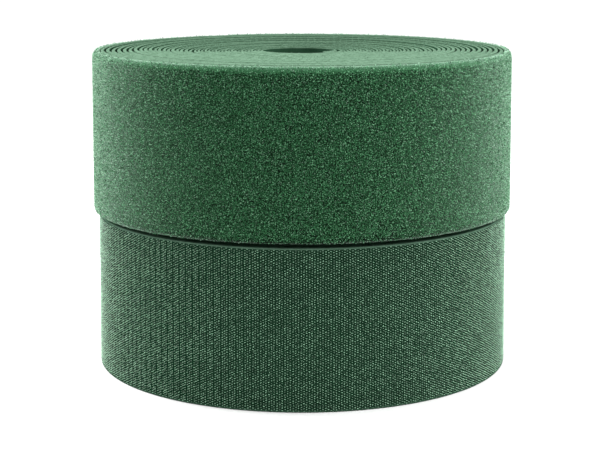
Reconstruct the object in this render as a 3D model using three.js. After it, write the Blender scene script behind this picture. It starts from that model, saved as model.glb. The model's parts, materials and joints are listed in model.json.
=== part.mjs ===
// A stacked pair of hook and loop tape rolls: the loop roll stands on the hook roll, on one upright axis.
// Millimetres, +Z up, origin at the centre of the hook roll's underside.
// Each tape is wound without a core: tight turns round the bore, then turns that loosen outwards,
// the raised face of the last turn, and a free end that peels off in short stretches.
import * as THREE from 'three';

// Tape, with its pile or hooks pressed flat between the turns
const TAPE_WIDTH = 100;
const TAPE_THICKNESS = 2;

// Turns
const BORE_DIAMETER = 47;
const TIGHT_TURNS = 27;
const TIGHT_PITCH = 2.275;
const LOOSE_TURNS = 14;
const FIRST_LOOSE_GAP = 0.85;
const LOOP_LAST_GAP = 1.45;
const HOOK_LAST_GAP = 1.375;
const TURN_STEPS = 24;
const OUTER_TURN_STEPS = 72;

// Pile of loops, free to stand up on the outermost turn
const NAP_HEIGHT = 3.2;
const NAP_EDGE_INSET = 0.6;
const NAP_CROWN_WIDTH = 6.5;
const NAP_CROWN_STEPS = 3;

// Field of hooks between two bare selvedges on the outermost turn
const HOOK_HEIGHT = 1.5;
const HOOK_SELVEDGE = 3.5;
const HOOK_FIELD_SLOPE = 1;

// Free end of each tape, in stretches that turn on the raised face between them
const TAIL_STRETCHES = 5;
const TAIL_STRETCH_LENGTH = 22;
const TAIL_SLIT = 0.3;
const TAIL_STRETCH_STEPS = 2;
const LOOP_TAIL_BEARING = THREE.MathUtils.degToRad(90);
const HOOK_TAIL_BEARING = THREE.MathUtils.degToRad(60);

// Inner end of each tape, which springs a little way off the wall of the bore
const INNER_END_LENGTH = 24;
const INNER_END_LIFT = 2.4;
const INNER_END_STEPS = 6;
const LOOP_INNER_END_BEARING = THREE.MathUtils.degToRad(33);
const HOOK_INNER_END_BEARING = THREE.MathUtils.degToRad(213);

// Clearances between pieces that lie against each other
const SEAT_GAP = 0.3;
const STACK_GAP = 0.3;

const FULL_TURN = 2 * Math.PI;
const tightRadius = BORE_DIAMETER / 2 + TIGHT_TURNS * TIGHT_PITCH;
const boreFlatRadius = (BORE_DIAMETER / 2) * Math.cos(Math.PI / TURN_STEPS);
const raisedFoot = TAPE_THICKNESS + SEAT_GAP;

// Radius of the tape's inner face after so many loose turns, while the gap under it widens steadily
function turnRadius(turn, lastGap) {
  const widening = (lastGap - FIRST_LOOSE_GAP) / (2 * LOOSE_TURNS);
  return tightRadius + SEAT_GAP + turn * (TAPE_THICKNESS + FIRST_LOOSE_GAP) + turn ** 2 * widening;
}

// Places along the tape from one count of turns to another, as bearing and radius of its inner face
function stationsBetween(firstTurn, lastTurn, steps, roll) {
  const stations = [];
  for (let step = 0; step <= steps; step += 1) {
    const turn = firstTurn + ((lastTurn - firstTurn) * step) / steps;
    stations.push({
      turn,
      bearing: roll.rootBearing + (turn - LOOSE_TURNS) * FULL_TURN,
      radius: turnRadius(turn, roll.lastGap),
    });
  }
  return stations;
}

// Places along all the loose turns, closer together on the outermost one
function windingStations(roll) {
  const innerTurns = LOOSE_TURNS - 1;
  const inner = stationsBetween(0, innerTurns, innerTurns * TURN_STEPS, roll);
  const outer = stationsBetween(innerTurns, LOOSE_TURNS, OUTER_TURN_STEPS, roll);
  return [...inner, ...outer.slice(1)];
}

// Solid of one convex section, as [outward, height] points, carried through the stations
function sweep(section, stations) {
  const sides = section.length;
  const positions = [];
  const triangles = [];
  for (const { bearing, radius } of stations) {
    for (const [outward, height] of section) {
      const reach = radius + outward;
      positions.push(reach * Math.cos(bearing), reach * Math.sin(bearing), height);
    }
  }
  for (let ring = 0; ring < stations.length - 1; ring += 1) {
    for (let side = 0; side < sides; side += 1) {
      const here = ring * sides + side;
      const beside = ring * sides + ((side + 1) % sides);
      triangles.push(here, here + sides, beside + sides);
      triangles.push(here, beside + sides, beside);
    }
  }
  const lastRing = (stations.length - 1) * sides;
  for (let side = 1; side < sides - 1; side += 1) {
    triangles.push(0, side, side + 1);
    triangles.push(lastRing, lastRing + side + 1, lastRing + side);
  }
  const geometry = new THREE.BufferGeometry();
  geometry.setAttribute('position', new THREE.Float32BufferAttribute(positions, 3));
  geometry.setIndex(triangles);
  geometry.computeVertexNormals();
  return geometry;
}

// Plain rectangular section of the tape
const tapeSection = [
  [0, 0],
  [TAPE_THICKNESS, 0],
  [TAPE_THICKNESS, TAPE_WIDTH],
  [0, TAPE_WIDTH],
];

// Section of the standing pile, rounded over towards both edges of the tape
function napSection() {
  const lowerEdge = [];
  for (let step = 0; step <= NAP_CROWN_STEPS; step += 1) {
    const angle = (step / NAP_CROWN_STEPS) * (Math.PI / 2);
    lowerEdge.push([
      raisedFoot + NAP_HEIGHT * Math.sin(angle),
      NAP_EDGE_INSET + NAP_CROWN_WIDTH * (1 - Math.cos(angle)),
    ]);
  }
  const upperEdge = lowerEdge.map(([outward, height]) => [outward, TAPE_WIDTH - height]).reverse();
  return [...lowerEdge, ...upperEdge];
}

// Section of the hook field, with sloping flanks above the bare selvedges
function hookSection() {
  const top = raisedFoot + HOOK_HEIGHT;
  const shoulder = HOOK_SELVEDGE + HOOK_FIELD_SLOPE;
  return [
    [raisedFoot, HOOK_SELVEDGE],
    [top, shoulder],
    [top, TAPE_WIDTH - shoulder],
    [raisedFoot, TAPE_WIDTH - HOOK_SELVEDGE],
  ];
}

// Tight turns round the bore, as one ring whose facets lie under those of the first loose turn
function tightTurnsGeometry() {
  const profile = [
    [BORE_DIAMETER / 2, 0],
    [tightRadius, 0],
    [tightRadius, TAPE_WIDTH],
    [BORE_DIAMETER / 2, TAPE_WIDTH],
    [BORE_DIAMETER / 2, 0],
  ].map(([radius, height]) => new THREE.Vector2(radius, height));
  return new THREE.LatheGeometry(profile, TURN_STEPS).rotateX(Math.PI / 2);
}

// Inner end of the tape, which comes in from its free edge to lie on the wall of the bore
function innerEndGeometry(seatBearing) {
  const seatRadius = boreFlatRadius - SEAT_GAP - TAPE_THICKNESS;
  const stations = [];
  for (let step = INNER_END_STEPS; step >= 0; step -= 1) {
    const offSeat = step / INNER_END_STEPS;
    stations.push({
      bearing: seatBearing - (offSeat * INNER_END_LENGTH) / seatRadius,
      radius: seatRadius - INNER_END_LIFT * offSeat ** 2,
    });
  }
  return sweep(tapeSection, stations);
}

// One face of the tape in plan, as points with the count of turns that each has come
function facePoints(stations, outward) {
  return stations.map(({ turn, bearing, radius }) => {
    const reach = radius + outward;
    return { turn, place: new THREE.Vector3(reach * Math.cos(bearing), reach * Math.sin(bearing), 0) };
  });
}

// Least distance from the points of one face to the chords of another that lie about a turn away
function leastDistance(points, chordEnds) {
  const chord = new THREE.Line3();
  const nearest = new THREE.Vector3();
  let least = Infinity;
  for (const { turn, place } of points) {
    for (let end = 1; end < chordEnds.length; end += 1) {
      const turnsApart = Math.abs(chordEnds[end].turn - turn);
      if (turnsApart > 1 / 2 && turnsApart < 3 / 2) {
        chord.set(chordEnds[end - 1].place, chordEnds[end].place);
        least = Math.min(least, place.distanceTo(chord.closestPointToPoint(place, true, nearest)));
      }
    }
  }
  return least;
}

// Least gap between a winding's turns, measured from the points of either face to the other face
function leastTurnGap(stations) {
  const innerFace = facePoints(stations, 0);
  const outerFace = facePoints(stations, TAPE_THICKNESS);
  return Math.min(leastDistance(outerFace, innerFace), leastDistance(innerFace, outerFace));
}

function mesh(name, geometry, material) {
  const piece = new THREE.Mesh(geometry, material);
  piece.name = name;
  return piece;
}

// One roll: tight turns, loose turns, raised face, inner end and the stretches of the free end
function makeRoll({ name, faceName, faceSection, lastGap, tailBearing, innerEndBearing, tape, face }) {
  const rootRadius = turnRadius(LOOSE_TURNS, lastGap) + TAPE_THICKNESS;
  const stretchTurn = TAIL_STRETCH_LENGTH / (FULL_TURN * rootRadius);
  const slitTurn = TAIL_SLIT / (FULL_TURN * rootRadius);
  const tailTurn = TAIL_STRETCHES * stretchTurn;
  const roll = { lastGap, rootBearing: tailBearing - (tailTurn * FULL_TURN) / 2 };
  const group = new THREE.Group();

  const tightTurns = mesh(`${name}_tight_turns`, tightTurnsGeometry(), tape);
  tightTurns.rotation.z = roll.rootBearing;
  group.add(tightTurns);
  group.add(mesh(`${name}_inner_end`, innerEndGeometry(innerEndBearing), tape));

  const turnStations = windingStations(roll);
  group.add(mesh(`${name}_winding`, sweep(tapeSection, turnStations), tape));
  console.log(`${name} winding: least gap between turns ${leastTurnGap(turnStations).toFixed(3)} mm`);

  const faceStart = LOOSE_TURNS - 1 + tailTurn + slitTurn;
  const faceEnd = LOOSE_TURNS - slitTurn / 2;
  const faceStations = stationsBetween(faceStart, faceEnd, OUTER_TURN_STEPS, roll);
  group.add(mesh(`${name}_${faceName}`, sweep(faceSection, faceStations), face));

  for (let stretch = 0; stretch < TAIL_STRETCHES; stretch += 1) {
    const start = LOOSE_TURNS + stretch * stretchTurn + slitTurn / 2;
    const end = LOOSE_TURNS + (stretch + 1) * stretchTurn - slitTurn / 2;
    const stations = stationsBetween(start, end, TAIL_STRETCH_STEPS, roll);
    group.add(mesh(`${name}_tail_tape_${stretch + 1}`, sweep(tapeSection, stations), tape));
    group.add(mesh(`${name}_tail_${faceName}_${stretch + 1}`, sweep(faceSection, stations), face));
  }
  return group;
}

const loopTape = new THREE.MeshStandardMaterial({ color: 0x6d9c7c, roughness: 0.85, metalness: 0 });
const loopPile = new THREE.MeshStandardMaterial({ color: 0x4a7d5c, roughness: 0.95, metalness: 0 });
const hookTape = new THREE.MeshStandardMaterial({ color: 0x4f7d60, roughness: 0.75, metalness: 0 });
const hookPile = new THREE.MeshStandardMaterial({ color: 0x35583f, roughness: 0.55, metalness: 0 });

const hookRoll = makeRoll({
  name: 'hook',
  faceName: 'field',
  faceSection: hookSection(),
  lastGap: HOOK_LAST_GAP,
  tailBearing: HOOK_TAIL_BEARING,
  innerEndBearing: HOOK_INNER_END_BEARING,
  tape: hookTape,
  face: hookPile,
});

const loopRoll = makeRoll({
  name: 'loop',
  faceName: 'nap',
  faceSection: napSection(),
  lastGap: LOOP_LAST_GAP,
  tailBearing: LOOP_TAIL_BEARING,
  innerEndBearing: LOOP_INNER_END_BEARING,
  tape: loopTape,
  face: loopPile,
});
loopRoll.position.z = TAPE_WIDTH + STACK_GAP;

const tapeRollPair = new THREE.Group();
tapeRollPair.add(hookRoll, loopRoll);

export default tapeRollPair;
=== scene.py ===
import json
import math

import bpy
import numpy as np
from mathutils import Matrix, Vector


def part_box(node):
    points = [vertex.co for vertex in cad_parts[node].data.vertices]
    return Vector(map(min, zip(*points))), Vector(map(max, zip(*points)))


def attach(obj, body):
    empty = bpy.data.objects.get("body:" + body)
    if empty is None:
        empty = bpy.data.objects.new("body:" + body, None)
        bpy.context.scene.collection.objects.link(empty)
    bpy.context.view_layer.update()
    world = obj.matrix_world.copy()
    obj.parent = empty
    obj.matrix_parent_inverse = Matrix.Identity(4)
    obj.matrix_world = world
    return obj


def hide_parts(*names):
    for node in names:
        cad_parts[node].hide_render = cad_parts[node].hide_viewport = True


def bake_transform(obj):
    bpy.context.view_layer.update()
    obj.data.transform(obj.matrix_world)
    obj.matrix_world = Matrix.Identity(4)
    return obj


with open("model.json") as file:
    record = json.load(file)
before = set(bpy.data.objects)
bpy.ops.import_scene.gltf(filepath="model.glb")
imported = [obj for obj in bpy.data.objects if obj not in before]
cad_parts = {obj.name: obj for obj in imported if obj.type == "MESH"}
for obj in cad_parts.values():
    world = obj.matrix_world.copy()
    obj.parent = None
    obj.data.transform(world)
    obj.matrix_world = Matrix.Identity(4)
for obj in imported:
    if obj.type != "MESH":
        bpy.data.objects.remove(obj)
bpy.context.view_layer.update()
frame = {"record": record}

FULL_TURN = 2 * math.pi

# Turns of each roll; lengths are in metres all through
BORE_RADIUS = 0.0235
TIGHT_TURNS = 20
TIGHT_PITCH = 0.0021
TIGHT_THICKNESS = 0.0014
LOOSE_TURNS = 21
LOOSE_THICKNESS = 0.0020
THICKENING_TURNS = 3
FIRST_LOOSE_PITCH = 0.0026
SEAT_GAP = 0.0003

# Unevenness of the turns: of their edges, of their roundness and of the gaps among them. A wave has
# its count in a turn, how many times the roll's phase it starts at, and its share of the height. The
# edges come level over one turn, which starts LEVEL_TURNS before the root of the free end
EDGE_WANDER = 0.00035
EDGE_WAVES = [(0.37, 1, 0.5), (1.13, 0, 0.5)]
LEVEL_TURNS = 2
TURN_WANDER = 0.00045
TURN_WAVES = [(2.03, 1, 10 / 17), (3.06, 2, 7 / 17)]
GAP_WANDER = 0.00014
GAP_WAVES = [(0.61, 1, 0.5), (1.43, 3, 0.5)]

# Edge of a covered turn: a crisp corner at the back, from which the edge slopes down to the face. The
# profile's pairs are a share of the thickness and a share of the slope
BACK_CORNER = 0.00008
BACK_CORNER_TONE = 0.8
EDGE_SLOPE = 0.0003
EDGE_PROFILE = [(0.45, 0.30), (0.80, 0.75), (1.00, 1.50)]
# Below each edge the tone falls to nought, the back's dark colour, within this distance, and is a little
# lower just under the back corner: painted shade down in the gaps between turns and in the bore
EDGE_FADE = 0.0005
# Lower edges take a lower tone: painted shade under the turns, which also draws the dark line along the
# hook roll's foot
LOWER_EDGE_SHADE = 0.3
COVERED_SELVEDGE = 0.0007

# Outermost turn: its ground, how far it comes up past the free end, and over how much of a turn its
# lean and its spread set in
GROUND_THICKNESS = 0.0018
GROUND_SLOPE = 0.0002
OUTER_SELVEDGE = 0.0009
RELAXED = 0.0004
RELAX_LENGTH = 0.025
SWAY_EASE = 0.2
FLARE_EASE = 0.1

# Where the turns differ: how many outer ones have their upper edges lower or higher, how far the upper
# edges at the bore lie lower, how many turns are pressed out, and over how many turns that comes and
# goes
DROPPED_TURNS = 14
DROP_FADE = 4
CORE_DROP = 0.0008
PRESSED_TURNS = 9
PRESS_RAMP = 6.5
PRESS_EASE = 0.17

# How the rolls differ: the pitch of the last turn, the bearing where the inner end leaves the bore's
# wall, where the unevenness starts, how far the last covered turns are pressed out, how far the
# outermost turn leans to one side and spreads downwards, how far the outer turns' upper edges lie
# below the rest, how pale the covered edges are and how far the lower and upper selvedges stand out.
# The hook roll's covered edges are darker: painted shade of the seam under the loop roll
LOOP_ROLL_SHAPE = {
    "last_pitch": 0.00345,
    "inner_seat": math.radians(33),
    "phase": 0.7,
    "pressed_out": 0.00125,
    "sway": 0.0,
    "flare": 0.0,
    "edge_drop": -0.0007,
    "edge_shade": 1.0,
    "selvedge_rises": (0.0, 0.0),
}
HOOK_ROLL_SHAPE = {
    "last_pitch": 0.00349,
    "inner_seat": math.radians(213),
    "phase": 2.9,
    "pressed_out": 0.0,
    "sway": 0.0003,
    "flare": 0.0011,
    "edge_drop": 0.0020,
    # Darker covered edges: painted shade of the seam under the loop roll
    "edge_shade": 0.3,
    "selvedge_rises": (0.0010, 0.0003),
}

# Free end of each tape, in stretches that turn on each other
TAIL_STRETCHES = 5
TAIL_STEPS = 10
TAIL_SEED = 40
SEALED_END = 0.0022

# Inner end of each tape, which springs off the wall of the bore
INNER_END_LENGTH = 0.024
INNER_END_LIFT = 0.0078
INNER_END_CURL = 1.8
INNER_END_STEPS = 14

# Bed of the pile on the outermost turn: past the tape's edges, bent over at both, deeper downwards, and
# pressed where the free end lies on it
PILE_OVERHANG = 0.0001
PILE_UPPER_CROWN = 0.0050
PILE_LOWER_CROWN = 0.0026
PILE_LOWER_BEND = 0.28
PILE_FLARE = 0.0012
PILE_BED = 0.0024
PRESSED_BED = 0.0009
PILE_ROWS = 64
PILE_LUMPS = 0.00016
LUMP_SEED = 11

# Loops of the pile, which lean outwards where the bed bends over
BARE_LIP = 0.0002
LOOP_SPACING = 0.00106
LOOP_SHAKE = 0.42
LOOP_SINK = 0.0002
UPPER_LEAN = math.radians(65)
LOWER_LEAN = math.radians(90)

# Stray loops along the upper edges of the loop roll's turns, in a band through the tape's thickness
FRINGE_STEP = 0.0045
FRINGE_BAND = (0.05, 0.9)
FRINGE_TILT = math.radians(68)
FRINGE_PARTS = 2
FRINGE_SEED = 70

# Hooks on the outermost turn, in ribs of three columns between bare selvedges. The ribs are drawn
# together most at one bearing, and hardly on the other side
HOOK_COLUMN = 0.00155
HOOK_ROW = 0.00150
HOOK_DROOP = math.radians(10)
HOOK_SHAKE = 0.08
HOOK_SINK = 0.0001
RIB_COLUMNS = 3
RIB_SQUEEZE = 0.01
RIB_UNEVENNESS = 0.16
RIB_FALLOFF = 3
RIB_CLOSEST = math.radians(-145)

# Steps of the meshes
STATION_STEP = 0.006
FEWEST_STATIONS = 44
BED_STEP = 0.0016
FIELD_SECTORS = 4
YARN_SIDES = 3

# Side that no strip has, for one that is shaded round on all its sides
NO_SIDE = -1

# Unwrapped map of a strip: its girth, how far its rows keep apart lengthways and across, and where its
# two ends lie in the last row
STRIP_GIRTH = 0.25
ROW_ROOM = 1.05
ROW_FILL = 0.96
ROW_ROUNDING = 1e-6
CAP_CENTRES = (0.25, 0.75)
CAP_REACH = (0.2, 0.4)

# Weave of the tape's back
WARP_PITCH = 0.0011
WEFT_PITCH = 0.0009

# Grain of the finishes, in features to the metre
BED_GRAIN = 1300.0
LOOP_PATCHES = 60.0
FRINGE_FLECKS = 900.0
HOOK_FLECKS = 620.0
DYE_CLOUDS = 240.0
TAPE_FUZZ = 1400.0
PAPER_GRAIN = 300.0

# Dyes of the two tapes: on the back, and where the face comes to the edge
LOOP_TAPE_DYES = {
    "back_dark": (0.008, 0.030, 0.014),
    "back_light": (0.026, 0.070, 0.039),
    "edge_dark": (0.058, 0.115, 0.071),
    "edge_light": (0.138, 0.230, 0.160),
}
HOOK_TAPE_DYES = {
    "back_dark": (0.003, 0.013, 0.006),
    "back_light": (0.011, 0.036, 0.019),
    "edge_dark": (0.038, 0.076, 0.050),
    "edge_light": (0.074, 0.134, 0.093),
}

# Studio: the floor, soft lights that face the middle of the rolls, and a camera tilted a little down
FLOOR_REACH = 6.0
MIDDLE_HEIGHT = 0.1
SOFTBOXES = {
    "left_softbox": {"place": (-0.90, 0.42, 0.42), "size": (0.7, 0.9), "energy": 21.0},
    "right_softbox": {"place": (0.95, -0.08, 0.42), "size": (0.7, 0.9), "energy": 12.5},
    "top_softbox": {"place": (0.0, 0.15, 1.2), "size": (0.8, 0.8), "energy": 6.5},
}
ROOM_BRIGHTNESS = 1.65
CAMERA_PLACE = (0.0005, -0.9995, 0.2806)
CAMERA_TILT = math.radians(11.09)
CAMERA_LENS = 93.06
SENSOR_WIDTH = 36.0


class Wire:
    """A node's socket in an expression; each operator adds a Math node."""

    def __init__(self, sheet, socket):
        self.sheet = sheet
        self.socket = socket

    def maths(self, operation, *others):
        return self.sheet.maths(operation, self, *others)

    def output(self, name):
        return Wire(self.sheet, self.socket.node.outputs[name])

    def __add__(self, other):
        return self.sheet.maths("ADD", self, other)

    def __radd__(self, other):
        return self.sheet.maths("ADD", other, self)

    def __mul__(self, other):
        return self.sheet.maths("MULTIPLY", self, other)

    def __rmul__(self, other):
        return self.sheet.maths("MULTIPLY", other, self)

    def __truediv__(self, other):
        return self.sheet.maths("DIVIDE", self, other)

    def __rtruediv__(self, other):
        return self.sheet.maths("DIVIDE", other, self)


class NodeSheet:
    """A node tree that is filled through one method."""

    def __init__(self, tree):
        self.tree = tree

    def add(self, kind, settings=None, sockets=None, output=0):
        """Adds a node, sets it, fills its sockets by name or number and gives one of its outputs."""
        node = self.tree.nodes.new(kind)
        for name, value in (settings or {}).items():
            setattr(node, name, value)
        for key, value in (sockets or {}).items():
            if isinstance(value, Wire):
                self.tree.links.new(value.socket, node.inputs[key])
            else:
                node.inputs[key].default_value = value
        return Wire(self, node.outputs[output])

    def maths(self, operation, *operands):
        return self.add("ShaderNodeMath", {"operation": operation}, dict(enumerate(operands)))

    def ramp(self, tone, *stops):
        """Colour between stops, each given as a place and a colour."""
        coloured = self.add("ShaderNodeValToRGB", {}, {"Fac": tone})
        ramp = coloured.socket.node.color_ramp
        while len(ramp.elements) < len(stops):
            ramp.elements.new(1.0)
        for element, (place, colour) in zip(ramp.elements, stops):
            element.position = place
            element.color = (*colour, 1.0)
        return coloured

    def noise(self, place, scale, detail=2.0):
        """Grey noise with so many features to the metre."""
        sockets = {"Vector": place, "Scale": scale, "Detail": detail, "Roughness": 0.6}
        return self.add("ShaderNodeTexNoise", {"noise_dimensions": "3D"}, sockets)

    def bump(self, height, strength, distance):
        """Normal of a surface raised by a height."""
        sockets = {"Height": height, "Strength": strength, "Distance": distance}
        return self.add("ShaderNodeBump", {}, sockets)

    def attribute(self, name):
        return self.add("ShaderNodeAttribute", {"attribute_name": name}, output="Fac")

    def object_place(self):
        return self.add("ShaderNodeTexCoord", output="Object")


def new_material(name, constants, make_inputs):
    """A material whose shader has some inputs that are the same all over and some that vary."""
    material = bpy.data.materials.new(name)
    material.use_nodes = True
    sheet = NodeSheet(material.node_tree)
    shader = material.node_tree.nodes["Principled BSDF"]
    for key, value in constants.items():
        shader.inputs[key].default_value = value
    for key, wire in make_inputs(sheet).items():
        sheet.tree.links.new(wire.socket, shader.inputs[key])
    return material


def bed_inputs(sheet):
    """Matted roots of the pile: dark and lumpy, with a painted highlight on the upper crown and painted
    shade at the lower lip.
    """
    lumps = sheet.noise(sheet.object_place(), BED_GRAIN, 3.0)
    tone = lumps * 0.5 + sheet.attribute("face") * 0.5
    dark, middle, light = (0.0005, 0.003, 0.001), (0.024, 0.096, 0.039), (0.060, 0.140, 0.084)
    colour = sheet.ramp(tone, (0.48, dark), (0.56, middle), (0.80, light))
    return {"Base Color": colour, "Normal": sheet.bump(lumps, 0.7, 0.0008)}


def loop_inputs(sheet):
    """Loops of fine yarn, with painted shade at the foot and lighter on top, no two quite alike."""
    patch = sheet.noise(sheet.object_place(), LOOP_PATCHES)
    tone = sheet.attribute("rise") * 0.20 + sheet.attribute("shade") * 0.65 + patch * 0.15
    dark, middle, light = (0.002, 0.012, 0.004), (0.034, 0.140, 0.056), (0.130, 0.345, 0.180)
    return {"Base Color": sheet.ramp(tone, (0.15, dark), (0.55, middle), (0.90, light))}


def fringe_inputs(sheet):
    """Stray loops, hardly paler than the edges that they stand on."""
    each = sheet.noise(sheet.object_place(), FRINGE_FLECKS)
    dark, light = (0.052, 0.104, 0.065), (0.142, 0.240, 0.167)
    return {"Base Color": sheet.ramp(each, (0.35, dark), (0.65, light))}


def hook_inputs(sheet):
    """Hooks of thick satin yarn, some paler than others, with painted shade towards their feet."""
    each = sheet.noise(sheet.object_place(), HOOK_FLECKS)
    tone = sheet.attribute("rise") * 0.40 + each * 0.25 + sheet.attribute("shade") * 0.35
    dark, light = (0.009, 0.036, 0.016), (0.280, 0.520, 0.340)
    colour = sheet.ramp(tone, (0.30, dark), (0.80, light))
    return {"Base Color": colour, "Roughness": each * 0.25 + 0.30}


def woven_inputs(back_dark, back_light, edge_dark, edge_light):
    """Woven tape: fine warp and weft, and another tone where its face comes to the edge; the mix between
    them also carries painted shade down the gaps and under the lower edges.
    """

    def inputs(sheet):
        tape = sheet.add("ShaderNodeUVMap", {"uv_map": "tape"})
        tape = sheet.add("ShaderNodeSeparateXYZ", {}, {0: tape})
        warp = (tape.output("Y") * (FULL_TURN / WARP_PITCH)).maths("SINE")
        weft = (tape.output("X") * (FULL_TURN / WEFT_PITCH)).maths("SINE")
        weave = warp * weft * 0.5 + 0.5
        place = sheet.object_place()
        dye = sheet.noise(place, DYE_CLOUDS, 3.0)
        fuzz = sheet.noise(place, TAPE_FUZZ)
        back_tone = weave * 0.35 + dye * 0.35 + fuzz * 0.30
        back = sheet.ramp(back_tone, (0.3, back_dark), (0.7, back_light))
        edge = sheet.ramp(dye * 0.5 + fuzz * 0.5, (0.35, edge_dark), (0.65, edge_light))
        # A Mix node's colour sockets go by number, because their names repeat
        sockets = {0: sheet.attribute("face"), 6: back, 7: edge}
        return {
            "Base Color": sheet.add("ShaderNodeMix", {"data_type": "RGBA"}, sockets, 2),
            "Roughness": fuzz * 0.2 + 0.65,
            "Normal": sheet.bump(weave * 0.6 + fuzz * 0.6, 0.5, 0.0003),
        }

    return inputs


def paper_inputs(sheet):
    """Smooth white paper with the faintest grain."""
    grain = sheet.noise(sheet.object_place(), PAPER_GRAIN)
    dark, light = (0.65, 0.65, 0.65), (0.68, 0.68, 0.68)
    return {"Base Color": sheet.ramp(grain, (0.3, dark), (0.7, light)), "Roughness": grain * 0.1 + 0.85}


FLUFF = {
    "Roughness": 0.9,
    "Specular IOR Level": 0.0,
    "Sheen Weight": 1.0,
    "Sheen Roughness": 0.4,
    "Sheen Tint": (0.68, 0.95, 0.76, 1.0),
}
MATTED = {**FLUFF, "Sheen Weight": 0.9, "Sheen Roughness": 0.35}
SATIN = {
    "Specular IOR Level": 0.35,
    "Sheen Weight": 0.07,
    "Sheen Roughness": 0.8,
    "Sheen Tint": (0.95, 0.85, 0.95, 1.0),
}
DULL = {"Specular IOR Level": 0.0}

loop_bed = new_material("loop_bed", MATTED, bed_inputs)
loop_yarn = new_material("loop_yarn", FLUFF, loop_inputs)
fringe_yarn = new_material("fringe_yarn", {**DULL, "Roughness": 0.9}, fringe_inputs)
hook_yarn = new_material("hook_yarn", SATIN, hook_inputs)
loop_tape = new_material("loop_tape", DULL, woven_inputs(**LOOP_TAPE_DYES))
hook_tape = new_material("hook_tape", DULL, woven_inputs(**HOOK_TAPE_DYES))
white_paper = new_material("white_paper", DULL, paper_inputs)


def smooth(share):
    """Eases a share between nought and one at both ends."""
    share = np.clip(share, 0, 1)
    return share * share * (3 - 2 * share)


class Roll:
    """One wound tape. Its turns are counted from the root of its free end, and are negative inwards."""

    def __init__(self, name, tape, shape):
        low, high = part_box(f"{name}_winding")
        self.name = name
        self.tape = tape
        self.base = low.z
        self.width = high.z - low.z - 2 * EDGE_WANDER
        self.widening = (shape["last_pitch"] - FIRST_LOOSE_PITCH) / (2 * LOOSE_TURNS)
        self.inner_seat = shape["inner_seat"]
        self.phase = shape["phase"]
        self.pressed_out = shape["pressed_out"]
        self.sway = shape["sway"]
        self.flare = shape["flare"]
        self.edge_drop = shape["edge_drop"]
        self.edge_shade = shape["edge_shade"]
        self.selvedge_rises = shape["selvedge_rises"]
        self.root = hinge_bearing(f"{name}_peel_1")
        self.stretch = (hinge_bearing(f"{name}_peel_2") - self.root) / FULL_TURN
        self.tail_end = TAIL_STRETCHES * self.stretch
        self.circle = FULL_TURN * float(self.back(0.0))

    def ripple(self, turn, waves):
        """Waves along the tape, between minus one and one."""
        angle = FULL_TURN * turn
        return sum(share * np.sin(count * angle + times * self.phase) for count, times, share in waves)

    def wander(self, turn):
        """Unevenness of the turns, which dies away at the bore and at the outermost turn."""
        turns = LOOSE_TURNS + TIGHT_TURNS
        share = np.clip((turn + turns) / (turns - 1), 0, 1)
        uneven = TURN_WANDER * self.ripple(turn, TURN_WAVES) + GAP_WANDER * self.ripple(turn, GAP_WAVES)
        return 4 * share * (1 - share) * uneven

    def back(self, turn):
        """Radius of the tape's back after so many turns."""
        turn = np.asarray(turn, float)
        loose = turn + LOOSE_TURNS
        seat = BORE_RADIUS + TIGHT_TURNS * TIGHT_PITCH + SEAT_GAP
        outer = seat + loose * FIRST_LOOSE_PITCH + loose**2 * self.widening
        wound = np.where(loose < 0, seat + loose * TIGHT_PITCH, outer)
        pressing = smooth((turn + PRESSED_TURNS) / PRESS_RAMP) * smooth(-(turn + 1) / PRESS_EASE)
        swaying = smooth((turn + 1) / SWAY_EASE) * smooth(-turn / SWAY_EASE)
        swayed = self.sway * swaying * np.cos(self.root + FULL_TURN * turn)
        moved = self.pressed_out * pressing + swayed + RELAXED * self.risen(turn)
        return wound + self.wander(turn) + moved

    def risen(self, turn):
        """How far the outermost turn has come up, past the place where the free end stops."""
        outer_radius = BORE_RADIUS + TIGHT_TURNS * TIGHT_PITCH + LOOSE_TURNS * FIRST_LOOSE_PITCH
        return smooth((turn + 1 - self.tail_end) * FULL_TURN * outer_radius / RELAX_LENGTH)

    def heights(self, turn, across):
        """Heights of places across the tape, whose edges differ a little from turn to turn."""
        turn = np.asarray(turn, float)
        lift = EDGE_WANDER * (1 + self.ripple(turn, EDGE_WAVES)) * (1 - smooth(turn + LEVEL_TURNS))
        outer_drop = self.edge_drop * smooth((turn + 1 + DROPPED_TURNS) / DROP_FADE)
        core_drop = CORE_DROP * smooth((-LOOSE_TURNS / 2 - turn) / LOOSE_TURNS)
        return self.base + lift + across * (1 - (outer_drop + core_drop) / self.width)

    def flared(self, turn, across):
        """How far the outermost turn spreads at its lower edge and draws in at its upper edge."""
        return self.flare * (0.5 - across / self.width) * smooth((turn + 1) / FLARE_EASE)

    def places(self, turn, radius, height):
        """Points at so many turns, at a radius and a height."""
        bearing = self.root + FULL_TURN * turn
        return np.stack([radius * np.cos(bearing), radius * np.sin(bearing), height], -1)

    def directions(self, turn, tilt):
        """Outward directions, tilted upwards, and directions along the tape."""
        bearing = self.root + FULL_TURN * turn
        level = np.cos(tilt)
        outward = np.stack([level * np.cos(bearing), level * np.sin(bearing), np.sin(tilt)], -1)
        along = np.stack([-np.sin(bearing), np.cos(bearing), np.zeros_like(bearing)], -1)
        return outward, along


def hinge_bearing(name):
    """Bearing of a hinge in plan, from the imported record."""
    joint = next(joint for joint in frame["record"]["behaviour"]["joints"] if joint["name"] == name)
    return math.atan2(joint["pos_m"][1], joint["pos_m"][0])


def add_object(name, mesh, material):
    piece = bpy.data.objects.new(name, mesh)
    bpy.context.scene.collection.objects.link(piece)
    if material is not None:
        mesh.materials.clear()
        mesh.materials.append(material)
    return piece


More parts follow.
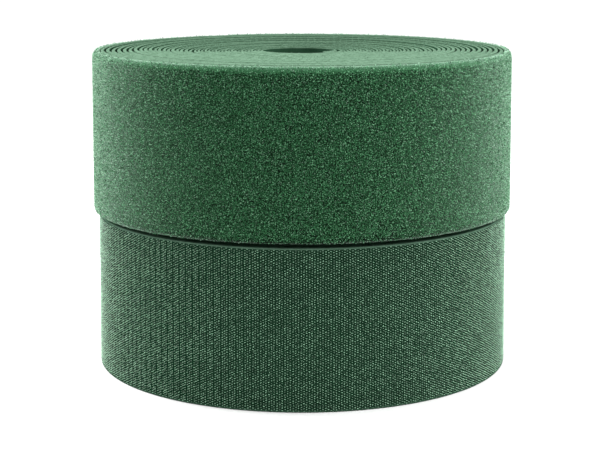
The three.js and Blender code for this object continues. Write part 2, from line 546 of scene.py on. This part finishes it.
def set_uv(mesh, name, corners):
    """Stores a UV map, given one pair of numbers for each face corner."""
    layer = mesh.uv_layers.new(name=name)
    layer.data.foreach_set("uv", np.ascontiguousarray(corners, np.float32).ravel())


def set_attribute(mesh, name, kind, field, values):
    """Stores a value for each point of a mesh."""
    layer = mesh.attributes.new(name, kind, "POINT")
    layer.data.foreach_set(field, np.ascontiguousarray(values, np.float32).ravel())


def strip_mesh(name, points, lengths, across, face, flat_side):
    """Strip through rings of points, shaded round but for its caps and one side, with both its maps."""
    rings, sides, _ = points.shape
    ring, side = np.meshgrid(np.arange(rings - 1), np.arange(sides), indexing="ij")
    following = (side + 1) % sides
    corner_rings = np.stack([ring, ring + 1, ring + 1, ring], -1).reshape(-1, 4)
    corner_sides = np.stack([side, side, following, following], -1).reshape(-1, 4)
    first_cap = np.arange(sides)
    last_cap = first_cap[::-1]
    faces = (corner_rings * sides + corner_sides).tolist()
    faces += [(rings * sides + first_cap).tolist(), ((rings + 1) * sides + last_cap).tolist()]
    mesh = bpy.data.meshes.new(name)
    # The caps have points of their own, so that the last rings keep the strip's shading
    capped = np.concatenate([points, points[:1], points[-1:]])
    mesh.from_pydata(capped.reshape(-1, 3).tolist(), [], faces)
    rounded = np.concatenate([side.ravel() != flat_side, [False, False]])
    mesh.polygons.foreach_set("use_smooth", rounded)
    all_rings = np.concatenate([corner_rings.ravel(), np.zeros(sides, int), np.full(sides, rings - 1)])
    all_sides = np.concatenate([corner_sides.ravel(), first_cap, last_cap])
    set_uv(mesh, "tape", np.stack([lengths[all_rings], across[all_sides]], -1))
    set_uv(mesh, "OFBake", unwrapped_rows(lengths, corner_rings, corner_sides, side.ravel(), sides))
    # Tone round the section: the edge colour and painted shade on the tapes, painted highlight and shade
    # on the pile's bed
    set_attribute(mesh, "face", "FLOAT", "value", np.tile(face, rings + 2))
    mesh.validate()
    return mesh


def unwrapped_rows(lengths, corner_rings, corner_sides, face_sides, sides):
    """Lays a long strip out in rows, one under the other, with its two ends in a last narrow row."""
    total = lengths[-1] - lengths[0]
    rows = max(1, round(math.sqrt(total / STRIP_GIRTH)))
    run = (lengths - lengths[0]) / total * rows
    first = np.minimum(np.floor(run[corner_rings.min(1)] + ROW_ROUNDING), rows - 1)
    u = (run[corner_rings] - first[:, None]).ravel() / ROW_ROOM
    closing = (corner_sides == 0) & (face_sides[:, None] == sides - 1)
    around = np.where(closing, sides, corner_sides).ravel() / sides
    v = (np.repeat(first, 4) + around * ROW_FILL) / (rows + 1)
    angle = np.linspace(0, FULL_TURN, sides, endpoint=False)
    reach_u, reach_v = CAP_REACH
    caps = []
    for centre, way in zip(CAP_CENTRES, (1, -1)):
        cap_v = (rows + 0.5 + reach_v * way * np.sin(angle)) / (rows + 1)
        caps.append(np.stack([centre + reach_u * np.cos(angle), cap_v], -1))
    return np.concatenate([np.stack([u, v], -1), *caps])


def edge_section(thickness, slope, selvedge, rise, tone):
    """One edge of a tape, from its back round to its face: outward places, distances in and tones."""
    back = np.zeros_like(thickness)
    face = thickness + rise
    # Tones fall to nought away from the edge: painted shade in the gaps between turns
    return [
        (back, EDGE_FADE, 0.0),
        (back, 2 * BACK_CORNER, BACK_CORNER_TONE * tone),
        (back + BACK_CORNER, 0.0, tone),
        *[(face * out, slope * fall, tone) for out, fall in EDGE_PROFILE],
        (face, selvedge, tone),
        (thickness, selvedge + EDGE_FADE, 0.0),
    ]


def tape_section(roll, thickness, slope, selvedge, rises, tone):
    """Outward places, places across and tones round a tape, from the lower corner of its back."""
    lower_rise, upper_rise = rises
    # The lower edge takes a lower tone, a painted shade under the tape
    lower = edge_section(thickness, slope, selvedge, lower_rise, LOWER_EDGE_SHADE * tone)
    upper = edge_section(thickness, slope, selvedge, upper_rise, tone)
    section = lower + [(out, roll.width - inset, shade) for out, inset, shade in reversed(upper)]
    outwards, across, tones = zip(*section)
    return np.stack(outwards, -1), np.array(across), np.array(tones)


def run_strip(roll, name, turns, section, material, radii=None, flat_side=NO_SIDE):
    """A strip that follows the roll's turns, by a section of outward places, places across and tones."""
    outwards, across, tones = section
    radii = roll.back(turns) if radii is None else radii
    heights = roll.heights(turns[:, None], across[None, :])
    flared = roll.flared(turns[:, None], across[None, :])
    points = roll.places(turns[:, None], radii[:, None] + outwards + flared, heights)
    steps = np.hypot(np.diff(radii), radii[1:] * np.diff(turns) * FULL_TURN)
    lengths = np.concatenate([[0.0], np.cumsum(steps)])
    mesh = strip_mesh(name, points, lengths, across, tones, flat_side)
    return add_object(name, mesh, material)


def turn_stations(roll, first, last, step, fewest):
    """Counts of turns from first to last, at about even steps along the tape."""
    stations = [first]
    while stations[-1] < last:
        circle = FULL_TURN * float(roll.back(stations[-1]))
        stations.append(stations[-1] + 1 / max(fewest, circle / step))
    return np.array([*stations[:-1], last])


def turn_thickness(turns):
    """Thickness of the tape, which is pressed flatter in the tight turns."""
    loosened = smooth((turns + LOOSE_TURNS) / THICKENING_TURNS)
    return TIGHT_THICKNESS + (LOOSE_THICKNESS - TIGHT_THICKNESS) * loosened


def covered_turns(roll):
    """All the turns that lie under another, with the inner end that springs off the bore's wall."""
    seat_share = (roll.inner_seat - roll.root) / FULL_TURN
    seat_turn = -LOOSE_TURNS - TIGHT_TURNS + seat_share - math.floor(seat_share) - 1
    end_turn = seat_turn - INNER_END_LENGTH / (FULL_TURN * BORE_RADIUS)
    inner = np.linspace(end_turn, seat_turn, INNER_END_STEPS + 1)[:-1]
    wound = turn_stations(roll, seat_turn, -1.0, STATION_STEP, FEWEST_STATIONS)
    turns = np.concatenate([inner, wound])
    off_seat = np.clip((seat_turn - turns) / (seat_turn - end_turn), 0, 1)
    radii = roll.back(turns) - INNER_END_LIFT * off_seat**INNER_END_CURL
    thickness = turn_thickness(turns)
    # The covered edges take the roll's edge tone, on the hook roll a painted shade of the seam
    section = tape_section(roll, thickness, EDGE_SLOPE, COVERED_SELVEDGE, (0.0, 0.0), roll.edge_shade)
    return run_strip(roll, f"{roll.name}_turns", turns, section, roll.tape, radii)


def ground_strip(roll, name, first, last):
    """Ground of the outermost turn or of part of the free end."""
    turns = turn_stations(roll, first, last, STATION_STEP, FEWEST_STATIONS)
    if len(turns) < TAIL_STEPS:
        turns = np.linspace(first, last, TAIL_STEPS + 1)
    thickness = np.full_like(turns, GROUND_THICKNESS)
    section = tape_section(roll, thickness, GROUND_SLOPE, OUTER_SELVEDGE, roll.selvedge_rises, 1.0)
    return run_strip(roll, name, turns, section, roll.tape)


def bed_depth(roll, turn):
    """Depth of the pile's bed: pressed under the free end, full past it, and flat where it's sealed."""
    sealed = np.clip((roll.tail_end - turn) * roll.circle / SEALED_END, 0, 1)
    return (PRESSED_BED + (PILE_BED - PRESSED_BED) * roll.risen(turn)) * np.sqrt(sealed)


def crown_bend(roll, across):
    """How far the pile has bent over: nought on the flat, one at the top, under nought at the bottom."""
    above = np.clip(1 - (roll.width + PILE_OVERHANG - across) / PILE_UPPER_CROWN, 0, 1)
    below = np.clip(1 - (across + PILE_OVERHANG) / PILE_LOWER_CROWN, 0, 1)
    return above - PILE_LOWER_BEND * below


def pile_flare(roll, across):
    """How much deeper the pile is towards its lower edge."""
    return PILE_FLARE * (1 - across / roll.width)


def pile_bed(roll, name, first, last):
    """Crowned bed of matted loops that covers the ground from edge to edge."""
    steps = max(TAIL_STEPS, round((last - first) * roll.circle / BED_STEP))
    turns = np.linspace(first, last, steps + 1)
    across = np.linspace(-PILE_OVERHANG, roll.width + PILE_OVERHANG, PILE_ROWS)
    crown = np.sqrt(1 - crown_bend(roll, across) ** 2)
    lumps = np.random.default_rng(LUMP_SEED).normal(0, PILE_LUMPS, (steps + 1, PILE_ROWS))
    lumps[[0, -1]] = 0.0
    depth = bed_depth(roll, turns)[:, None] + pile_flare(roll, across) + lumps
    under = np.full((steps + 1, 1), GROUND_THICKNESS / 2)
    outwards = np.concatenate([under, GROUND_THICKNESS + depth * crown, under], 1)
    across = np.concatenate([across[:1], across, across[-1:]])
    bend = crown_bend(roll, across)
    # Tone of the bed: higher on the upper crown, a painted highlight of the top light, and lower at the
    # lower lip, painted shade over the seam
    tones = (1 + np.where(bend > 0, bend**2, bend)) / 2
    return run_strip(roll, name, turns, (outwards, across, tones), loop_bed, flat_side=0)


def staggered(columns, rows, shake, generator):
    """Columns of a field, places along it and shares of the way up it: every other column half a step
    up, and all shaken out of line."""
    column, row = np.divmod(np.arange(columns * rows), rows)
    along, up = generator.uniform(-shake, shake, (2, columns * rows))
    return column, column + 0.5 + along, (row + 0.25 + 0.5 * (column % 2) + up) / rows


def pile_feet(roll, first, last, generator):
    """Where the pile's loops stand, and their directions, bent over at the edges."""
    low = BARE_LIP - PILE_OVERHANG
    high = roll.width + PILE_OVERHANG
    columns = round((last - first) * roll.circle / LOOP_SPACING)
    rows = round((high - low) / LOOP_SPACING)
    _, along, share = staggered(columns, rows, LOOP_SHAKE, generator)
    turn = first + (last - first) * along / columns
    across = low + (high - low) * np.clip(share, 0, 1)
    bend = crown_bend(roll, across)
    bed = (bed_depth(roll, turn) + pile_flare(roll, across)) * np.sqrt(1 - bend**2) - LOOP_SINK
    points = roll.places(turn, roll.back(turn) + GROUND_THICKNESS + bed, roll.heights(turn, across))
    return points, *roll.directions(turn, np.where(bend > 0, UPPER_LEAN, LOWER_LEAN) * bend)


def hook_feet(roll, first, last, generator):
    """Where the hooks stand, in columns drawn together in ribs, and their directions."""
    columns = round((last - first) * roll.circle / HOOK_COLUMN)
    field = roll.width - 2 * OUTER_SELVEDGE
    column, along, share = staggered(columns, round(field / HOOK_ROW), HOOK_SHAKE, generator)
    bearing = roll.root + FULL_TURN * (first + (last - first) * column / columns)
    closeness = np.maximum(np.cos(bearing - RIB_CLOSEST), 0) ** RIB_FALLOFF
    squeeze = RIB_SQUEEZE + RIB_UNEVENNESS * closeness
    drawn_in = (RIB_COLUMNS // 2 - column % RIB_COLUMNS) * squeeze
    turn = first + (last - first) * (along + drawn_in) / columns
    across = OUTER_SELVEDGE + field * share
    radius = roll.back(turn) + GROUND_THICKNESS - HOOK_SINK + roll.flared(turn, across)
    points = roll.places(turn, radius, roll.heights(turn, across))
    return points, *roll.directions(turn, np.full_like(turn, -HOOK_DROOP))


def fringe_feet(roll, first, last, generator):
    """Where stray loops stand on the upper, sloping edge of the covered turns, and their directions."""
    turn = turn_stations(roll, first, last, FRINGE_STEP, 1)
    out = generator.uniform(*FRINGE_BAND, turn.size)
    shares, falls = np.array([(0.0, 0.0), *EDGE_PROFILE]).T
    across = roll.width - EDGE_SLOPE * np.interp(out, shares, falls)
    radius = roll.back(turn) + out * turn_thickness(turn)
    points = roll.places(turn, radius, roll.heights(turn, across))
    return points, *roll.directions(turn, np.full_like(turn, FRINGE_TILT))


YARN_INPUTS = [
    ("Feet", "NodeSocketGeometry"),
    ("Yarn Steps", "NodeSocketInt"),
    ("Yarn Width", "NodeSocketFloat"),
    ("Yarn Height", "NodeSocketFloat"),
    ("Yarn Radius", "NodeSocketFloat"),
    ("Sweep", "NodeSocketFloat"),
    ("Lean", "NodeSocketFloat"),
    ("Spin", "NodeSocketFloat"),
    ("Size Spread", "NodeSocketFloat"),
    ("Seed", "NodeSocketInt"),
    ("Material", "NodeSocketMaterial"),
]


def yarn_tree():
    """Bent yarns that stand on points: loops with both feet down, or hooks, by how far they sweep."""
    tree = bpy.data.node_groups.new("standing_yarns", "GeometryNodeTree")
    for name, kind in YARN_INPUTS:
        tree.interface.new_socket(name, in_out="INPUT", socket_type=kind)
    tree.interface.new_socket("Geometry", in_out="OUTPUT", socket_type="NodeSocketGeometry")
    sheet = NodeSheet(tree)
    given = sheet.add("NodeGroupInput")
    height = given.output("Yarn Height")

    def chance(offset, low=-1.0):
        """A number up to one, drawn for each yarn; the node's sockets for it go by number."""
        sockets = {2: low, 3: 1.0, 8: given.output("Seed") + offset}
        return sheet.add("FunctionNodeRandomValue", {"data_type": "FLOAT"}, sockets, 1)

    def named(name):
        settings = {"data_type": "FLOAT_VECTOR"}
        return sheet.add("GeometryNodeInputNamedAttribute", settings, {"Name": name})

    arc = sheet.add(
        "GeometryNodeCurveArc",
        {"mode": "RADIUS"},
        {
            "Resolution": given.output("Yarn Steps") + 1.0,
            "Radius": 1.0,
            "Start Angle": 0.0,
            "Sweep Angle": given.output("Sweep"),
        },
    )
    half_width = given.output("Yarn Width") * 0.5
    size = sheet.add("ShaderNodeCombineXYZ", {}, {0: half_width, 1: height, 2: 1.0})
    bent = sheet.add("GeometryNodeTransform", {}, {"Geometry": arc, "Scale": size})
    quarter_turn = (FULL_TURN / 4, 0.0, 0.0)
    upright = sheet.add("GeometryNodeTransform", {}, {"Geometry": bent, "Rotation": quarter_turn})
    here = sheet.add("ShaderNodeSeparateXYZ", {}, {0: sheet.add("GeometryNodeInputPosition")})
    # Share of the height up each yarn, which the finishes use for painted shade at the yarns' feet
    measured = sheet.add(
        "GeometryNodeStoreNamedAttribute",
        {"data_type": "FLOAT", "domain": "POINT"},
        {"Geometry": upright, "Name": "rise", "Value": here.output("Z") / height},
    )
    round_section = sheet.add(
        "GeometryNodeCurvePrimitiveCircle",
        {"mode": "RADIUS"},
        {"Resolution": YARN_SIDES, "Radius": given.output("Yarn Radius")},
    )
    yarn = sheet.add("GeometryNodeCurveToMesh", {}, {"Curve": measured, "Profile Curve": round_section})

    stood = sheet.add(
        "FunctionNodeAxesToRotation",
        {"primary_axis": "Z", "secondary_axis": "X"},
        {"Primary Axis": named("outward"), "Secondary Axis": named("along")},
    )
    lean, spin = given.output("Lean"), given.output("Spin")
    facing = chance(3, 0.0).maths("ROUND") * math.pi
    angles = {0: chance(1) * lean, 1: chance(2) * lean, 2: facing + chance(4) * spin}
    tipped = sheet.add("ShaderNodeCombineXYZ", {}, angles)
    tipped = sheet.add("FunctionNodeEulerToRotation", {}, {0: tipped})
    turned = sheet.add("FunctionNodeRotateRotation", {"rotation_space": "LOCAL"}, {0: stood, 1: tipped})
    standing = sheet.add(
        "GeometryNodeInstanceOnPoints",
        {},
        {
            "Points": given.output("Feet"),
            "Instance": yarn,
            "Rotation": turned,
            "Scale": chance(5) * given.output("Size Spread") + 1.0,
        },
    )
    shaded = sheet.add(
        "GeometryNodeStoreNamedAttribute",
        {"data_type": "FLOAT", "domain": "INSTANCE"},
        {"Geometry": standing, "Name": "shade", "Value": chance(6, 0.0)},
    )
    real = sheet.add("GeometryNodeRealizeInstances", {}, {"Geometry": shaded})
    rounded = sheet.add("GeometryNodeSetShadeSmooth", {}, {"Geometry": real, "Shade Smooth": True})
    sockets = {"Geometry": rounded, "Material": given.output("Material")}
    coloured = sheet.add("GeometryNodeSetMaterial", {}, sockets)
    tree.links.new(coloured.socket, tree.nodes.new("NodeGroupOutput").inputs[0])
    return tree


LOOP_SHAPE = {
    "Yarn Steps": 2,
    "Yarn Width": 0.0006,
    "Yarn Height": 0.0008,
    "Yarn Radius": 0.00020,
    "Sweep": math.pi,
    "Lean": 0.55,
    "Spin": math.pi,
    "Size Spread": 0.25,
    "Material": loop_yarn,
}
FRINGE_SHAPE = {
    **LOOP_SHAPE,
    "Yarn Width": 0.0009,
    "Yarn Height": 0.00022,
    "Yarn Radius": 0.00010,
    "Material": fringe_yarn,
}
HOOK_SHAPE = {
    "Yarn Steps": 2,
    "Yarn Width": 0.00068,
    "Yarn Height": 0.0012,
    "Yarn Radius": 0.00022,
    "Sweep": math.radians(150),
    "Lean": 0.16,
    "Spin": 0.45,
    "Size Spread": 0.10,
    "Material": hook_yarn,
}


def yarn_piece(name, feet, shape, seed):
    """Stands yarns on their feet and keeps them as a plain mesh, with a map that gives each a cell."""
    points, outward, along = feet
    base = bpy.data.meshes.new(f"{name}_feet")
    base.from_pydata(points.tolist(), [], [])
    set_attribute(base, "outward", "FLOAT_VECTOR", "vector", outward)
    set_attribute(base, "along", "FLOAT_VECTOR", "vector", along)
    maker = add_object(f"{name}_maker", base, None)
    modifier = maker.modifiers.new("yarns", "NODES")
    modifier.node_group = yarns
    values = {**shape, "Seed": seed}
    for item in yarns.interface.items_tree:
        if item.in_out == "INPUT" and item.name in values:
            modifier[item.identifier] = values[item.name]
    evaluated = maker.evaluated_get(bpy.context.evaluated_depsgraph_get())
    mesh = bpy.data.meshes.new_from_object(evaluated)
    mesh.name = name
    bpy.data.objects.remove(maker)
    set_uv(mesh, "OFBake", yarn_cells(len(mesh.polygons), shape["Yarn Steps"]))
    return add_object(name, mesh, shape["Material"])


def yarn_cells(faces, steps):
    """A cell of the map for each yarn, parted again among its faces."""
    per_yarn = steps * YARN_SIDES
    cells = math.ceil(math.sqrt(faces / per_yarn))
    yarn, part = np.divmod(np.arange(faces), per_yarn)
    corner = np.array([(0.0, 0.0), (0.0, 1.0), (1.0, 1.0), (1.0, 0.0)])
    step = (part // YARN_SIDES)[:, None] + corner[None, :, 0]
    side = (part % YARN_SIDES)[:, None] + corner[None, :, 1]
    u = ((yarn // cells)[:, None] + step / steps) / cells
    v = ((yarn % cells)[:, None] + side / YARN_SIDES) / cells
    return np.stack([u, v], -1).reshape(-1, 2)


def loop_face(roll, part, first, last, seed):
    """Raised face of the loop tape: a bed of pile and the loops on it."""
    bed = pile_bed(roll, f"loop_pile_bed_{part}", first, last)
    feet = pile_feet(roll, first, last, np.random.default_rng(seed))
    return [bed, yarn_piece(f"loop_pile_{part}", feet, LOOP_SHAPE, seed)]


def hook_face(roll, part, first, last, seed):
    """Raised face of the hook tape: rows of hooks."""
    feet = hook_feet(roll, first, last, np.random.default_rng(seed))
    return [yarn_piece(f"hook_rows_{part}", feet, HOOK_SHAPE, seed)]


def loop_fringe(roll):
    """Stray loops on the upper edges of the covered turns, in a few pieces."""
    marks = np.linspace(-LOOSE_TURNS - TIGHT_TURNS, -1.0, FRINGE_PARTS + 1)
    for count, (first, last) in enumerate(zip(marks[:-1], marks[1:])):
        seed = FRINGE_SEED + count
        feet = fringe_feet(roll, first, last, np.random.default_rng(seed))
        piece = yarn_piece(f"loop_edge_fringe_{count + 1}", feet, FRINGE_SHAPE, seed)
        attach(piece, "loop_roll")


def tail_stops(roll):
    """Where the free end's visual pieces begin and end: from the middle of one stretch to the next."""
    stops = [(count - 0.5) * roll.stretch for count in range(TAIL_STRETCHES + 1)]
    return [*stops, roll.tail_end]


def fix_to_tail(roll, piece, count):
    """Carries the last piece of the free end on the last stretch; any other piece only has its placement
    baked into its mesh.
    """
    tail_bodies = [f"{roll.name}_tail_{number + 1}" for number in range(TAIL_STRETCHES)]
    bodies = [f"{roll.name}_roll", *tail_bodies]
    if count == TAIL_STRETCHES:
        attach(piece, bodies[-1])
        return
    ends = np.array(tail_stops(roll)[count : count + 2])
    radii = roll.back(ends) + GROUND_THICKNESS
    start, end = roll.places(ends, radii, roll.heights(ends, roll.width / 2))
    bodies[count + 1]
    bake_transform(piece)


def build_roll(roll, field, make_face):
    """All the visible pieces of one roll but its stray loops."""
    name = roll.name
    body = f"{name}_roll"
    stops = tail_stops(roll)
    turns = covered_turns(roll)
    outermost = ground_strip(roll, f"{name}_outermost_turn", -1.0, stops[0])
    for piece in (turns, outermost):
        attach(piece, body)
    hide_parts(f"{name}_tight_turns", f"{name}_inner_end", f"{name}_winding")
    bare_end = roll.tail_end - 1.0
    free_from = bare_end + RELAX_LENGTH / roll.circle
    marks = [-1.0, bare_end, *np.linspace(free_from, stops[0], FIELD_SECTORS + 1)]
    for count, (first, last) in enumerate(zip(marks[:-1], marks[1:])):
        for piece in make_face(roll, f"{count + 1}", first, last, count):
            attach(piece, body)
            # The solid's raised face is hidden with the last sector. One sector stands
            # for the whole raised face of the solid
            if count == FIELD_SECTORS:
                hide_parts(f"{name}_{field}")
    for count, (first, last) in enumerate(zip(stops[:-1], stops[1:])):
        tape = ground_strip(roll, f"{name}_free_end_{count + 1}", first, last)
        sealed = SEALED_END / roll.circle if count == TAIL_STRETCHES else 0.0
        faces = make_face(roll, f"end_{count + 1}", first, last - sealed, TAIL_SEED + count)
        for piece in (tape, *faces):
            fix_to_tail(roll, piece, count)
            if count < TAIL_STRETCHES:
                kind = "tape" if piece is tape else field
                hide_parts(f"{name}_tail_{kind}_{count + 1}")


def add_floor():
    mesh = bpy.data.meshes.new("floor")
    corners = [(x * FLOOR_REACH, y * FLOOR_REACH, 0) for x, y in ((-1, -1), (1, -1), (1, 1), (-1, 1))]
    mesh.from_pydata(corners, [], [(0, 1, 2, 3)])
    add_object("floor", mesh, white_paper)


def add_softbox(name, place, size, energy):
    """A soft rectangular light aimed at the middle of the rolls."""
    light = bpy.data.lights.new(name, "AREA")
    light.shape = "RECTANGLE"
    light.size, light.size_y = size
    light.energy = energy
    lamp = bpy.data.objects.new(name, light)
    bpy.context.scene.collection.objects.link(lamp)
    away_x, away_y, away_z = place[0], place[1], place[2] - MIDDLE_HEIGHT
    tilt = math.atan2(math.hypot(away_x, away_y), away_z)
    lamp.location = place
    lamp.rotation_euler = (tilt, 0.0, math.atan2(away_x, -away_y))


def add_room():
    """White light from all sides."""
    world = bpy.data.worlds.new("white_studio")
    world.use_nodes = True
    background = world.node_tree.nodes["Background"]
    background.inputs["Color"].default_value = (1.0, 1.0, 1.0, 1.0)
    background.inputs["Strength"].default_value = ROOM_BRIGHTNESS
    bpy.context.scene.world = world


def add_camera():
    data = bpy.data.cameras.new("camera")
    data.sensor_width = SENSOR_WIDTH
    data.sensor_fit = "HORIZONTAL"
    data.lens = CAMERA_LENS
    camera = bpy.data.objects.new("camera", data)
    bpy.context.scene.collection.objects.link(camera)
    camera.location = CAMERA_PLACE
    camera.rotation_euler = (FULL_TURN / 4 - CAMERA_TILT, 0.0, 0.0)
    bpy.context.scene.camera = camera


yarns = yarn_tree()
loop_roll = Roll("loop", loop_tape, LOOP_ROLL_SHAPE)
hook_roll = Roll("hook", hook_tape, HOOK_ROLL_SHAPE)
build_roll(hook_roll, "field", hook_face)
build_roll(loop_roll, "nap", loop_face)
loop_fringe(loop_roll)
add_floor()
for name, softbox in SOFTBOXES.items():
    add_softbox(name, **softbox)
add_room()
add_camera()
bpy.context.scene.view_settings.view_transform = "Standard"
